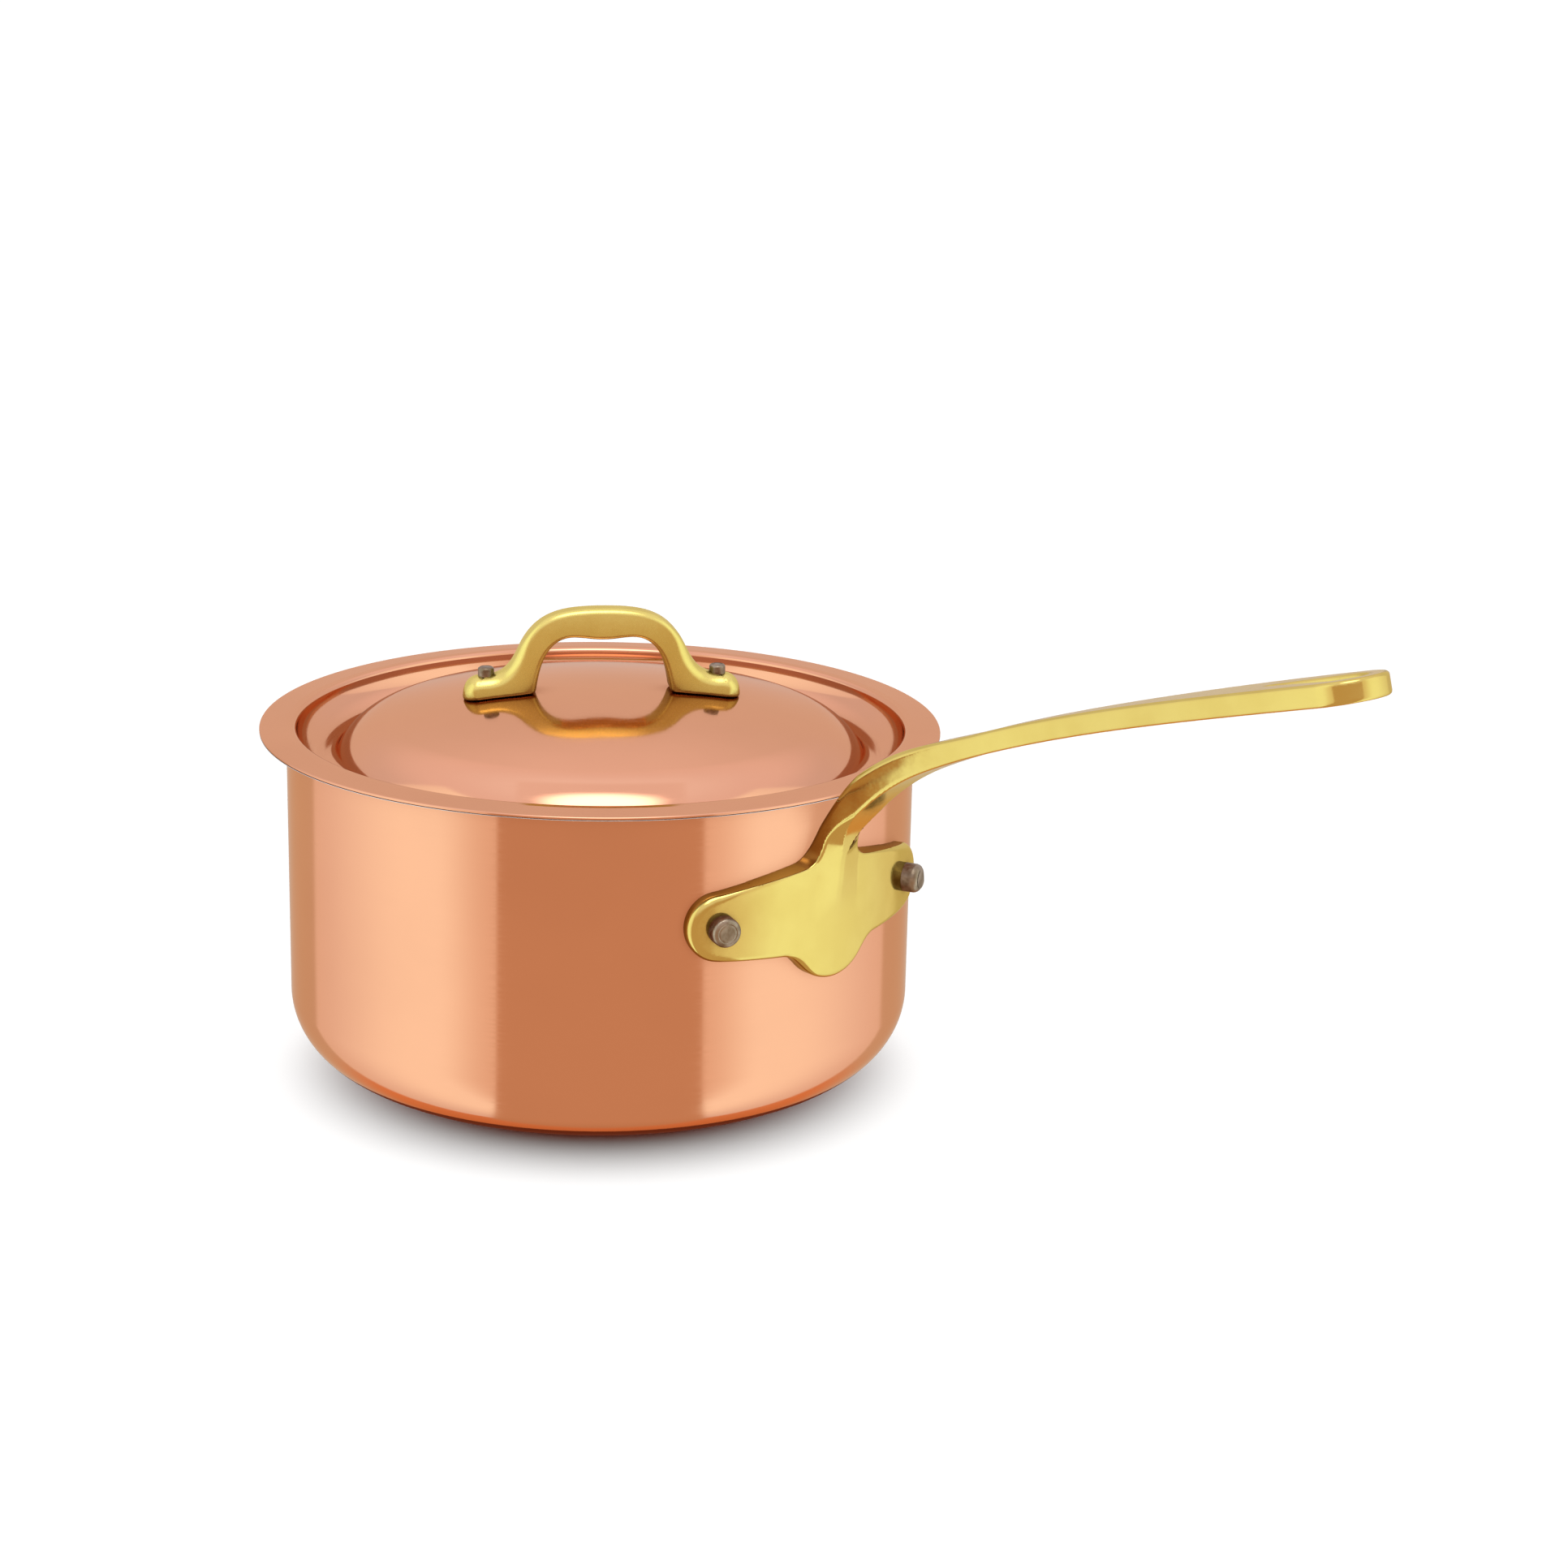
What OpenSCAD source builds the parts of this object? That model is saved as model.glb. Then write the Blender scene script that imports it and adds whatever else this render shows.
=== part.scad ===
// A lidded copper saucepan with a cast brass handle. Millimetres, +Z up.
// The origin is the centre of the base's underside, and +X runs out along the handle.

/* [Pan] */
// Outside diameter of the pan's wall
pan_d = 203; // [195:1:210]
// Height of the pan from base to rim
pan_h = 110; // [100:1:120]
// Thickness of the wall and base, lining included
wall_t = 1.5; // [1.2:0.1:2]
// Thickness of the steel lining within that wall
lining_t = 0.2; // [0.15:0.05:0.4]
// Outside radius of the corner between the wall and the base
corner_r = 22.7; // [15:0.1:25]

/* [Lid] */
// Outside diameter of the lid's flat flange
flange_d = 220; // [216:1:226]
// Thickness of the lid, lining included
lid_t = 1.2; // [1:0.1:1.4]
// Height of the crown above the flange
crown_rise = 10.8; // [8:0.1:13]
// Radius of the shallow crown
crown_r = 300; // [250:10:500]
// Radius of the shoulder round the crown
shoulder_r = 22.8; // [18:0.1:25]
// Diameter at which the shoulder would become upright
dome_d = 176; // [164:1:180]
// Depth of the channel below the flange
channel_depth = 10.2; // [9:0.1:11]
// Radius of the channel's outer side
channel_r = 9; // [8:0.1:12]
// Radius of the channel's inner corner
channel_corner_r = 3; // [2:0.1:3.5]
// Radius of the bend between the channel and the flange
flange_bend_r = 1.6; // [1.5:0.1:2]
// Gap between the lid and the inside of the pan's mouth
mouth_gap = 0.6; // [0.4:0.1:1]

/* [Handle] */
// Thickness of the handle's bar
bar_t = 6.4; // [5.5:0.1:7.5]
// Half the bar's width at its neck
neck_half_w = 6.2; // [5:0.1:7]
// Half the bar's width round the hanging eye
loop_half_w = 12.5; // [11:0.1:14]
// Radius of the hanging eye's round end
eye_r = 6; // [4.5:0.1:7]
// Length of the hanging eye
eye_length = 31; // [25:1:36]
// Slope of the handle at its far end, in degrees
bar_slope = 16.8; // [15:0.1:18]
// Thickness of the plate that is riveted to the pan
plate_t = 6.2; // [5:0.1:7]
// Radius of the plate's lobe round each rivet
wing_r = 10.7; // [9.5:0.1:12]
// Height of the handle's rivets above the base
rivet_z = 73; // [70:1:76]
// Angle from the handle to each of its rivets
rivet_angle = 22; // [20:1:24]
// Radius of the handle rivets' shanks
rivet_shank_r = 4; // [3:0.1:4.2]

/* [Lid handle] */
// Angle from the handle to the lid handle, seen from above
lid_turn = 53; // [0:1:180]
// Height of the lid handle's top above the flange
grip_rise = 37.5; // [34:0.1:38]
// Half the depth of the lid handle's bar
grip_half_depth = 5.5; // [4.5:0.1:6.5]
// Radius of the lid handle's feet
foot_r = 6.6; // [6:0.1:8]
// Distance from the lid's centre to each of its rivets
lid_rivet_x = 37.5; // [36.5:0.1:38]
// Radius of the lid rivets' shanks
lid_shank_r = 2.2; // [1.8:0.1:2.4]

/* [Hidden] */
$fn = 96;

COPPER = [0.88, 0.56, 0.42];
STEEL = [0.72, 0.73, 0.74];
BRASS = [0.86, 0.72, 0.34];
RIVET = [0.50, 0.44, 0.36];

far = 400;
pan_r = pan_d / 2;
mouth_r = pan_r - wall_t;
flange_r = flange_d / 2;
flange_z = pan_h + lid_t;

// The lid's profile is a chain of arcs, each tangent to the next.
crown_top = flange_z + crown_rise;
crown_z = crown_top - crown_r;
shoulder_x = dome_d / 2 - shoulder_r;
shoulder_z = crown_z + sqrt(pow(crown_r - shoulder_r, 2) - pow(shoulder_x, 2));
crown_end = atan2(shoulder_z - crown_z, shoulder_x);
floor_z = flange_z - channel_depth;
corner_z = floor_z + channel_corner_r;
shoulder_end = asin((corner_z - shoulder_z) / (shoulder_r + channel_corner_r));
corner_x = shoulder_x + (shoulder_r + channel_corner_r) * cos(shoulder_end);
channel_z = floor_z + channel_r;
channel_x = mouth_r - mouth_gap - sqrt(pow(channel_r + lid_t, 2) - pow(channel_z - pan_h, 2));
bend_z = flange_z - flange_bend_r;
channel_end = asin((channel_z - bend_z) / (channel_r + flange_bend_r));
bend_x = channel_x + (channel_r + flange_bend_r) * cos(channel_end);

// The handle's middle line leaves the plate almost upright and ends on the bar's slope.
bar_line = [[104.5, 85.5], [106, 117.3], [152, 139.6], [298.5, 180.8]];
bar_steps = 24;
bar_tip = bar_line[3];
tip_u = bar_tip[0] * cos(bar_slope) + bar_tip[1] * sin(bar_slope);
loop_u = tip_u - loop_half_w;
flare_length = 112;
neck_u = 126;
neck_flare_length = 20;
neck_flare_w = 4;
outline_steps = 16;

plate_r = pan_r + plate_t;
wing_x = plate_r * sin(rivet_angle) - 0.8;
lobe_r = 16;
lobe_z = rivet_z - 6;

grip_z = flange_z + grip_rise;
foot_z = crown_top + 4.6;
foot_base_z = crown_top - 5.2;
foot_tip = lid_rivet_x + 8.5;
lid_stub_r = 2.6;
grip_steps = 8;

// Points along an arc, without its first point.
function arc(x, z, r, from, to, steps) =
    [for (i = [1 : steps]) let (a = from + (to - from) * i / steps) [x + r * cos(a), z + r * sin(a)]];

function reversed(list) = [for (i = [len(list) - 1 : -1 : 0]) list[i]];
function mirrored(list) = [for (p = reversed(list)) [-p[0], p[1]]];
function smooth(t) = let (s = min(max(t, 0), 1)) s * s * (3 - 2 * s);

function bezier(p, t) =
    pow(1 - t, 3) * p[0] + 3 * pow(1 - t, 2) * t * p[1] + 3 * (1 - t) * t * t * p[2] + pow(t, 3) * p[3];
function bezier_slope(p, t) =
    let (d = pow(1 - t, 2) * (p[1] - p[0]) + 2 * (1 - t) * t * (p[2] - p[1]) + t * t * (p[3] - p[2]))
    atan2(d[1], d[0]);
function curve(p, steps) = [for (i = [1 : steps]) bezier(p, i / steps)];

// The lid's upper face, moved down into the sheet by t.
function lid_path(t) = concat(
    [[0, crown_top - t]],
    arc(0, crown_z, crown_r - t, 90, crown_end, 12),
    arc(shoulder_x, shoulder_z, shoulder_r - t, crown_end, shoulder_end, 12),
    arc(corner_x, corner_z, channel_corner_r + t, 180 + shoulder_end, 270, 6),
    [[channel_x, floor_z - t]],
    arc(channel_x, channel_z, channel_r + t, 270, 360 - channel_end, 14),
    arc(bend_x, bend_z, flange_bend_r - t, 180 - channel_end, 90, 5),
    [[flange_r, flange_z - t]]);

// One side of the handle's bar, at a signed distance d from its middle line.
function bar_side(d) =
    [for (i = [0 : bar_steps]) let (t = i / bar_steps, a = bezier_slope(bar_line, t))
        bezier(bar_line, t) + d * [-sin(a), cos(a)]];

// Half the bar's width, at distance u along its slope.
function bar_half_w(u) =
    neck_half_w + neck_flare_w * (1 - smooth((u - neck_u) / neck_flare_length))
    + (loop_half_w - neck_half_w) * smooth((u - loop_u + flare_length) / flare_length);

// Upper and lower edges of the lid handle's right half.
grip_top = concat(
    [[0, grip_z]],
    curve([[0, grip_z], [14, grip_z], [20, grip_z - 2], [25.3, grip_z - 10]], grip_steps),
    curve([[25.3, grip_z - 10], [28.5, grip_z - 15], [29.5, foot_z + 0.5], [lid_rivet_x, foot_z]], grip_steps),
    curve([[lid_rivet_x, foot_z], [foot_tip - 2.5, foot_z - 0.2], [foot_tip, foot_z - 3],
           [foot_tip, foot_base_z]], grip_steps));
grip_under = concat(
    [[0, grip_z - 9.8]],
    curve([[0, grip_z - 9.8], [4, grip_z - 9.8], [6, grip_z - 9.1], [9.5, grip_z - 9.1]], 4),
    curve([[9.5, grip_z - 9.1], [17.4, grip_z - 9.1], [21.2, grip_z - 17], [22.2, foot_base_z]], grip_steps));

module sheet(outer, inner) {
    rotate_extrude() polygon(concat(outer, reversed(inner)));
}

// A quarter of a round, and two blocks that meet it, make half of the pan's section.
module vessel_section(t) {
    flat_r = pan_r - corner_r;
    translate([0, t]) square([flat_r, pan_h - t]);
    translate([flat_r, corner_r]) square([corner_r - t, pan_h - corner_r]);
    translate([flat_r, corner_r]) intersection() {
        circle(corner_r - t);
        translate([0, -corner_r]) square(corner_r);
    }
}

module vessel(outer_t, inner_t) {
    rotate_extrude() difference() {
        vessel_section(outer_t);
        vessel_section(inner_t);
        translate([0, pan_h - 1]) square([pan_r - inner_t, 2]);
    }
}

module at_rivet(side) {
    rotate([0, 0, side * rivet_angle]) translate([0, 0, rivet_z]) rotate([0, 90, 0]) children();
}

module at_lid_rivet(side) {
    rotate([0, 0, lid_turn]) translate([side * lid_rivet_x, 0, 0]) children();
}

module handle_rivet_holes() {
    for (side = [-1, 1]) at_rivet(side) translate([0, 0, pan_r - 20]) cylinder(r = rivet_shank_r, h = 60);
}

module lid_rivet_holes() {
    for (side = [-1, 1]) at_lid_rivet(side) translate([0, 0, floor_z]) cylinder(r = lid_shank_r, h = 60);
}

// Flats on the lid handle's feet, for the rivets' stubs to sit on.
module lid_rivet_seats() {
    for (side = [-1, 1]) at_lid_rivet(side) translate([0, 0, foot_z]) cylinder(r = lid_stub_r, h = 20);
}

module pan_body() {
    color(COPPER) difference() {
        vessel(0, wall_t - lining_t);
        handle_rivet_holes();
    }
}

module pan_lining() {
    color(STEEL) difference() {
        vessel(wall_t - lining_t, wall_t);
        handle_rivet_holes();
    }
}

module plate_outline() {
    for (side = [-1, 1]) translate([side * wing_x, rivet_z]) circle(wing_r);
    translate([0, lobe_z]) circle(lobe_r);
    half = [[0, rivet_z + 24], [7, rivet_z + 24], [8.5, rivet_z + 20.5], [12, rivet_z + 18.5],
            [20, rivet_z + 17], [29, rivet_z + 14.6], [wing_x, rivet_z + wing_r],
            [wing_x, rivet_z - wing_r], [24, rivet_z - 9], [0, rivet_z - 9]];
    polygon(concat(half, mirrored(half)));
}

module plate() {
    intersection() {
        rotate([90, 0, 90]) linear_extrude(height = far) plate_outline();
        difference() {
            cylinder(r = plate_r, h = pan_h);
            translate([0, 0, -1]) cylinder(r = pan_r, h = pan_h + 2);
        }
    }
}

// The hanging eye is a round with a point towards the pan.
module eye_outline() {
    eye_u = loop_u + 1;
    reach = eye_length - eye_r;
    touch = acos(eye_r / reach);
    translate([eye_u, 0]) {
        circle(eye_r);
        polygon([[-reach, 0], [-eye_r * cos(touch), eye_r * sin(touch)],
                 [-eye_r * cos(touch), -eye_r * sin(touch)]]);
    }
}

module bar_outline() {
    start_u = neck_u - 16;
    edge = [for (i = [0 : outline_steps]) let (u = start_u + (loop_u - start_u) * i / outline_steps)
            [u, bar_half_w(u)]];
    difference() {
        union() {
            polygon(concat(edge, [for (p = reversed(edge)) [p[0], -p[1]]]));
            translate([loop_u, 0]) circle(loop_half_w);
        }
        eye_outline();
    }
}

module bar() {
    intersection() {
        rotate([90, 0, 0]) translate([0, 0, -far / 2]) linear_extrude(height = far)
            polygon(concat(bar_side(bar_t / 2), reversed(bar_side(-bar_t / 2))));
        rotate([0, -bar_slope, 0]) translate([0, 0, -far / 2]) linear_extrude(height = far) bar_outline();
    }
}

module handle() {
    color(BRASS) difference() {
        union() {
            plate();
            bar();
        }
        cylinder(r = pan_r, h = pan_h);
        handle_rivet_holes();
    }
}

// Outer stub, shank and inner head, turned about the rivet's own axis.
module handle_rivet(side) {
    stub_r = 4.6;
    stub_h = 4.6;
    edge = 1.2;
    head_r = 6.5;
    head_h = 2.4;
    head_base = sqrt(pow(mouth_r, 2) - pow(head_r, 2)) - 0.02;
    color(RIVET) at_rivet(side) rotate_extrude() polygon(concat(
        [[0, head_base - head_h], [head_r * 0.5, head_base - head_h * 0.85],
         [head_r * 0.85, head_base - head_h * 0.5], [head_r, head_base],
         [rivet_shank_r, head_base], [rivet_shank_r, plate_r], [stub_r, plate_r]],
        [[stub_r, plate_r + stub_h - edge]],
        arc(stub_r - edge, plate_r + stub_h - edge, edge, 0, 90, 4),
        [[0, plate_r + stub_h]]));
}

module lid_shell() {
    color(COPPER) difference() {
        sheet(lid_path(0), lid_path(lid_t - lining_t));
        lid_rivet_holes();
    }
}

module lid_lining() {
    color(STEEL) difference() {
        sheet(lid_path(lid_t - lining_t), lid_path(lid_t));
        lid_rivet_holes();
    }
}

module grip_outline() {
    foot_x = foot_tip - foot_r;
    half = concat(
        [[0, grip_half_depth], [18, grip_half_depth], [27, foot_r], [foot_x, foot_r]],
        arc(foot_x, 0, foot_r, 90, -90, 12),
        [[27, -foot_r], [18, -grip_half_depth], [0, -grip_half_depth]]);
    polygon(concat(half, mirrored(half)));
}

// Everything under the lid's upper face, to seat the feet on the crown.
module lid_solid() {
    rotate_extrude() polygon(concat(lid_path(0), [[flange_r, 0], [0, 0]]));
}

module lid_handle() {
    color(BRASS) difference() {
        rotate([0, 0, lid_turn]) intersection() {
            rotate([90, 0, 0]) translate([0, 0, -far / 2]) linear_extrude(height = far)
                polygon(concat(grip_top, reversed(grip_under), mirrored(concat(grip_top, reversed(grip_under)))));
            linear_extrude(height = far) grip_outline();
        }
        lid_solid();
        lid_rivet_holes();
        lid_rivet_seats();
    }
}

module lid_rivet(side) {
    stub_h = 3;
    edge = 0.7;
    head_r = 4.5;
    head_h = 1.8;
    rim_x = lid_rivet_x + head_r;
    head_base = crown_z + sqrt(pow(crown_r, 2) - pow(rim_x, 2)) - lid_t - 0.05;
    color(RIVET) at_lid_rivet(side) rotate_extrude() polygon(concat(
        [[0, head_base - head_h], [head_r * 0.5, head_base - head_h * 0.85],
         [head_r * 0.85, head_base - head_h * 0.5], [head_r, head_base],
         [lid_shank_r, head_base], [lid_shank_r, foot_z], [lid_stub_r, foot_z],
         [lid_stub_r, foot_z + stub_h - edge]],
        arc(lid_stub_r - edge, foot_z + stub_h - edge, edge, 0, 90, 4),
        [[0, foot_z + stub_h]]));
}

module handle_rivet_left() { handle_rivet(-1); }
module handle_rivet_right() { handle_rivet(1); }
module lid_rivet_left() { lid_rivet(-1); }
module lid_rivet_right() { lid_rivet(1); }

pan_body();
pan_lining();
handle();
handle_rivet_left();
handle_rivet_right();
lid_shell();
lid_lining();
lid_handle();
lid_rivet_left();
lid_rivet_right();
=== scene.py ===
"""Looks of a lidded copper saucepan: spun copper and steel, cast brass handles, hammered rivets."""
import math

import bpy
import numpy as np
from mathutils import Matrix, Vector

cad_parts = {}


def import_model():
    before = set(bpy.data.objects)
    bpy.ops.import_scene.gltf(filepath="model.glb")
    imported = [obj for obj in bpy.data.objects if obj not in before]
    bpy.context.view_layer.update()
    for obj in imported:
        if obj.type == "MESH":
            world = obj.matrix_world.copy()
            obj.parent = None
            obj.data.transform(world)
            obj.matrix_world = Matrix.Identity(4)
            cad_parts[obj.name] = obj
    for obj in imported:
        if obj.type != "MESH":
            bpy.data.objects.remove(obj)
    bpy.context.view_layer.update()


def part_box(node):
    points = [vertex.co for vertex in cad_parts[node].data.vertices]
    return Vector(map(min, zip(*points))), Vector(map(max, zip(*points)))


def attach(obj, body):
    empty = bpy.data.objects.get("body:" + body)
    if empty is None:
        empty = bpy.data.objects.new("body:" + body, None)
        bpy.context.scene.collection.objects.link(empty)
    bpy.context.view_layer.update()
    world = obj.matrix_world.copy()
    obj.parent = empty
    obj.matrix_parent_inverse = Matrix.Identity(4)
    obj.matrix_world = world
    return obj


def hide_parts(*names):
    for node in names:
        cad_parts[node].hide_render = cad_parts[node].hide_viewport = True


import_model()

MM = 0.001
X, Z = 0, 2


def top(node, axis):
    """The highest coordinate of a CAD node along an axis, in millimetres."""
    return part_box(node)[1][axis] / MM


# Pan, in millimetres. The outer sizes are the frame's.
PAN_R = top("pan_body", X)
PAN_H = top("pan_body", Z)
WALL_T = 1.5
LINING_T = 0.2
CORNER_R = 22.7
RIM_EDGE = 0.35

# Lid: crown, shoulder, channel and flange are arcs tangent to each other.
FLANGE_R = top("lid_shell", X)
CROWN_TOP = top("lid_shell", Z)
LID_T = 1.2
CROWN_R = 300
SHOULDER_R = 22.8
DOME_R = 88
CHANNEL_DEPTH = 10.2
CHANNEL_R = 9
CHANNEL_CORNER_R = 3
BEND_R = 1.6
MOUTH_GAP = 0.6
FLANGE_EDGE = 0.45
FLANGE_DROOP = 0.5
DROOP_START = 101.8

# Long handle: a strap that is bent along a curve, and a plate that follows the pan's wall.
BAR_LINE = np.array([[104.6, 85.5], [106, 117.3], [152, 139.6], [298.5, 180.8]])
BAR_HALF_T = 3.15
PLATE_MID_R = PAN_R + BAR_HALF_T
NECK_HALF_W = 6.2
ROOT_FLARE = 1.6
LOOP_HALF_W = 12.4
FLARE_LENGTH = 112
EYE_R = 6
EYE_POINT_R = 0.8
EYE_LENGTH = 31
WING_S = 40.3
WING_Z = 73
WING_R = 10.7
WING_ROOT_R = 15.2
WING_LEAN = 2.3
LOBE_Z = 67
LOBE_R = 16
RIVET_ANGLE = 22
RIVET_HEAD_R = 6.5
RIVET_HEAD_H = 2.4
RIVET_SHANK_R = 4
RIVET_STUB_R = 4.6
RIVET_SEAT_DEPTH = 2

# How the long handle's front and back leave the plain bar.
RIDGE_RISE = 1.7
RIDGE_W = 0.3
RIDGE_SPREAD = 4.9
RIDGE_SIDE_S = 8.2
SIDE_DROP = 1.8
BACK_CROWN = 2.2
WING_THINNING = 0.9

# Lid handle. Its feet follow the crown, and its outlines are closed below it.
LID_TURN = 53
GRIP_TOP = 148.7
GRIP_T = 9.8
GRIP_PALM_T = 9.1
FOOT_Z = 126.6
FOOT_R = 6.6
FOOT_TIP = 46
FOOT_SPARE = 0.9
FOOT_BASE_Z = CROWN_TOP - 5.2
GRIP_HALF_DEPTH = 5.5
GRIP_CROWNING = 1.9
LID_RIVET_X = 37.5
LID_RIVET_HEAD_R = 4.5
LID_RIVET_HEAD_H = 1.8
LID_RIVET_SHANK_R = 2.2
LID_RIVET_STUB_R = 2.6
LID_RIVET_STUB_H = 3.0
LID_RIVET_SEAT = FOOT_Z - 0.3

# Camera, round the pan's axis. The pan is seen from between its +X and -Y sides.
CAMERA_DISTANCE = 1012.2
CAMERA_HEIGHT = 380.3
CAMERA_AZIMUTH = 48
CAMERA_AIM_RIGHT = 3.38
CAMERA_AIM_DOWN = 15.99
CAMERA_ROLL = 1.32
CAMERA_LENS = 73.85


# Shapes turned on a lathe. A path's rows are x, z and the outward normal's x and z.
# A path keeps the metal on its left.

def line(x0, z0, x1, z1):
    length = math.hypot(x1 - x0, z1 - z0)
    nx, nz = (z1 - z0) / length, -(x1 - x0) / length
    return np.array([[x0, z0, nx, nz], [x1, z1, nx, nz]])


def arc(x, z, r, start, end, steps):
    """An arc between two angles in degrees."""
    a = np.radians(np.linspace(start, end, steps + 1))
    side = 1 if end > start else -1
    return np.column_stack([x + r * np.cos(a), z + r * np.sin(a), side * np.cos(a), side * np.sin(a)])


def join(*parts):
    """One path from several that meet end to end."""
    rows = list(parts[0])
    for part in parts[1:]:
        meets = np.allclose(part[0][:2], rows[-1][:2], atol=1e-6)
        smoothly = part[0][2:] @ rows[-1][2:] > 0.999
        rows.extend(part[1:] if meets and smoothly else part)
    return np.array(rows)


def make_mesh(name, verts, faces, normals=None):
    """A smooth mesh object from millimetres."""
    mesh = bpy.data.meshes.new(name)
    mesh.from_pydata((np.asarray(verts) * MM).tolist(), [], faces)
    mesh.update()
    mesh.shade_smooth()
    if normals is not None:
        mesh.normals_split_custom_set_from_vertices(np.asarray(normals).tolist())
    piece = bpy.data.objects.new(name, mesh)
    bpy.context.scene.collection.objects.link(piece)
    return piece


def revolve(path, segments):
    """Points, faces and normals of a path turned about Z. Its ends lie on the axis."""
    angle = np.linspace(0, 2 * np.pi, segments, endpoint=False)
    ring = np.column_stack([np.cos(angle), np.sin(angle)])
    verts = [[0, 0, path[0][1]], [0, 0, path[-1][1]]]
    normals = [[0, 0, path[0][3]], [0, 0, path[-1][3]]]
    inner = path[1:-1]
    for x, z, nx, nz in inner:
        verts.extend(np.column_stack([x * ring, np.full(segments, z)]))
        normals.extend(np.column_stack([nx * ring, np.full(segments, nz)]))
    faces = []
    for j in range(segments):
        k = (j + 1) % segments
        faces.append([0, 2 + k, 2 + j])
        for i in range(len(inner) - 1):
            row = 2 + i * segments
            faces.append([row + j, row + k, row + segments + k, row + segments + j])
        last = 2 + (len(inner) - 1) * segments
        faces.append([1, last + j, last + k])
    return np.array(verts), faces, np.array(normals)


def lathe(name, path, segments=360):
    """A closed piece turned about Z from its section."""
    return make_mesh(name, *revolve(path, segments))


def vessel_path(outer_t, inner_t, edge):
    """The pan's section between two depths into its sheet."""
    flat_r = PAN_R - CORNER_R
    outer_x = PAN_R - outer_t
    inner_x = PAN_R - inner_t
    return join(
        line(0, outer_t, flat_r, outer_t),
        arc(flat_r, CORNER_R, CORNER_R - outer_t, -90, 0, 40),
        line(outer_x, CORNER_R, outer_x, PAN_H - edge),
        arc(outer_x - edge, PAN_H - edge, edge, 0, 90, 6),
        line(outer_x - edge, PAN_H, inner_x + edge / 4, PAN_H),
        arc(inner_x + edge / 4, PAN_H - edge / 4, edge / 4, 90, 180, 4),
        line(inner_x, PAN_H - edge / 4, inner_x, CORNER_R),
        arc(flat_r, CORNER_R, CORNER_R - inner_t, 0, -90, 40),
        line(flat_r, inner_t, 0, inner_t))


def lid_arcs(t):
    """The lid's face at a depth t into the sheet, from its axis out to the flange."""
    flange_z = PAN_H + LID_T
    mouth_r = PAN_R - WALL_T
    crown_z = CROWN_TOP - CROWN_R
    shoulder_x = DOME_R - SHOULDER_R
    shoulder_z = crown_z + math.sqrt((CROWN_R - SHOULDER_R) ** 2 - shoulder_x ** 2)
    crown_end = math.degrees(math.atan2(shoulder_z - crown_z, shoulder_x))
    floor_z = flange_z - CHANNEL_DEPTH
    corner_z = floor_z + CHANNEL_CORNER_R
    both = SHOULDER_R + CHANNEL_CORNER_R
    shoulder_end = math.degrees(math.asin((corner_z - shoulder_z) / both))
    corner_x = shoulder_x + both * math.cos(math.radians(shoulder_end))
    channel_z = floor_z + CHANNEL_R
    channel_x = mouth_r - MOUTH_GAP - math.sqrt((CHANNEL_R + LID_T) ** 2 - (channel_z - PAN_H) ** 2)
    bend_z = flange_z - BEND_R
    channel_end = math.degrees(math.asin((channel_z - bend_z) / (CHANNEL_R + BEND_R)))
    bend_x = channel_x + (CHANNEL_R + BEND_R) * math.cos(math.radians(channel_end))
    return [
        (0, crown_z, CROWN_R - t, 90, crown_end, 40),
        (shoulder_x, shoulder_z, SHOULDER_R - t, crown_end, shoulder_end, 36),
        (corner_x, corner_z, CHANNEL_CORNER_R + t, 180 + shoulder_end, 270, 16),
        (channel_x, channel_z, CHANNEL_R + t, 270, 360 - channel_end, 30),
        (bend_x, bend_z, BEND_R - t, 180 - channel_end, 90, 12)]


def lid_path(outer_t, inner_t, edge):
    """The lid's section between two depths into its sheet."""
    flange_z = PAN_H + LID_T
    under = [arc(*a) for a in lid_arcs(inner_t)]
    over = []
    for x, z, r, start, end, steps in reversed(lid_arcs(outer_t)):
        over.append(arc(x, z, r, end, start, steps))
    for rows in under:
        rows[:, 2:] *= np.sign(-rows[len(rows) // 2, 3])
    for rows in over:
        rows[:, 2:] *= np.sign(rows[len(rows) // 2, 3])
    under_z = flange_z - inner_t
    over_z = flange_z - outer_t
    edge_x = FLANGE_R - edge
    return join(
        *under,
        line(under[-1][-1][0], under_z, DROOP_START, under_z),
        line(DROOP_START, under_z, edge_x, under_z - FLANGE_DROOP),
        arc(edge_x, under_z - FLANGE_DROOP + edge, edge, -90, 0, 4),
        arc(edge_x, over_z - FLANGE_DROOP - edge, edge, 0, 90, 4),
        line(edge_x, over_z - FLANGE_DROOP, DROOP_START, over_z),
        line(DROOP_START, over_z, over[0][0][0], over_z),
        *over)


# Cast shapes are fields: negative inside the metal, positive outside, about one per millimetre.

def ease(value, start, length):
    """Goes smoothly from 0 at the start to 1 a length further on."""
    t = np.clip((value - start) / length, 0, 1)
    return t * t * (3 - 2 * t)


def blend_min(a, b, k):
    """The lower of two fields, with a fillet of about k where they meet."""
    h = np.clip(0.5 + 0.5 * (b - a) / k, 0, 1)
    return b * (1 - h) + a * h - k * h * (1 - h)


def rounded_meet(a, b, r):
    """Where both fields are negative, with the edge between them rounded to r."""
    corner = np.hypot(np.maximum(a + r, 0), np.maximum(b + r, 0))
    return np.minimum(-r, np.maximum(a, b)) + corner


def bezier(p, t):
    t = t[..., None]
    u = 1 - t
    return u ** 3 * p[0] + 3 * u * u * t * p[1] + 3 * u * t * t * p[2] + t ** 3 * p[3]


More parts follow.
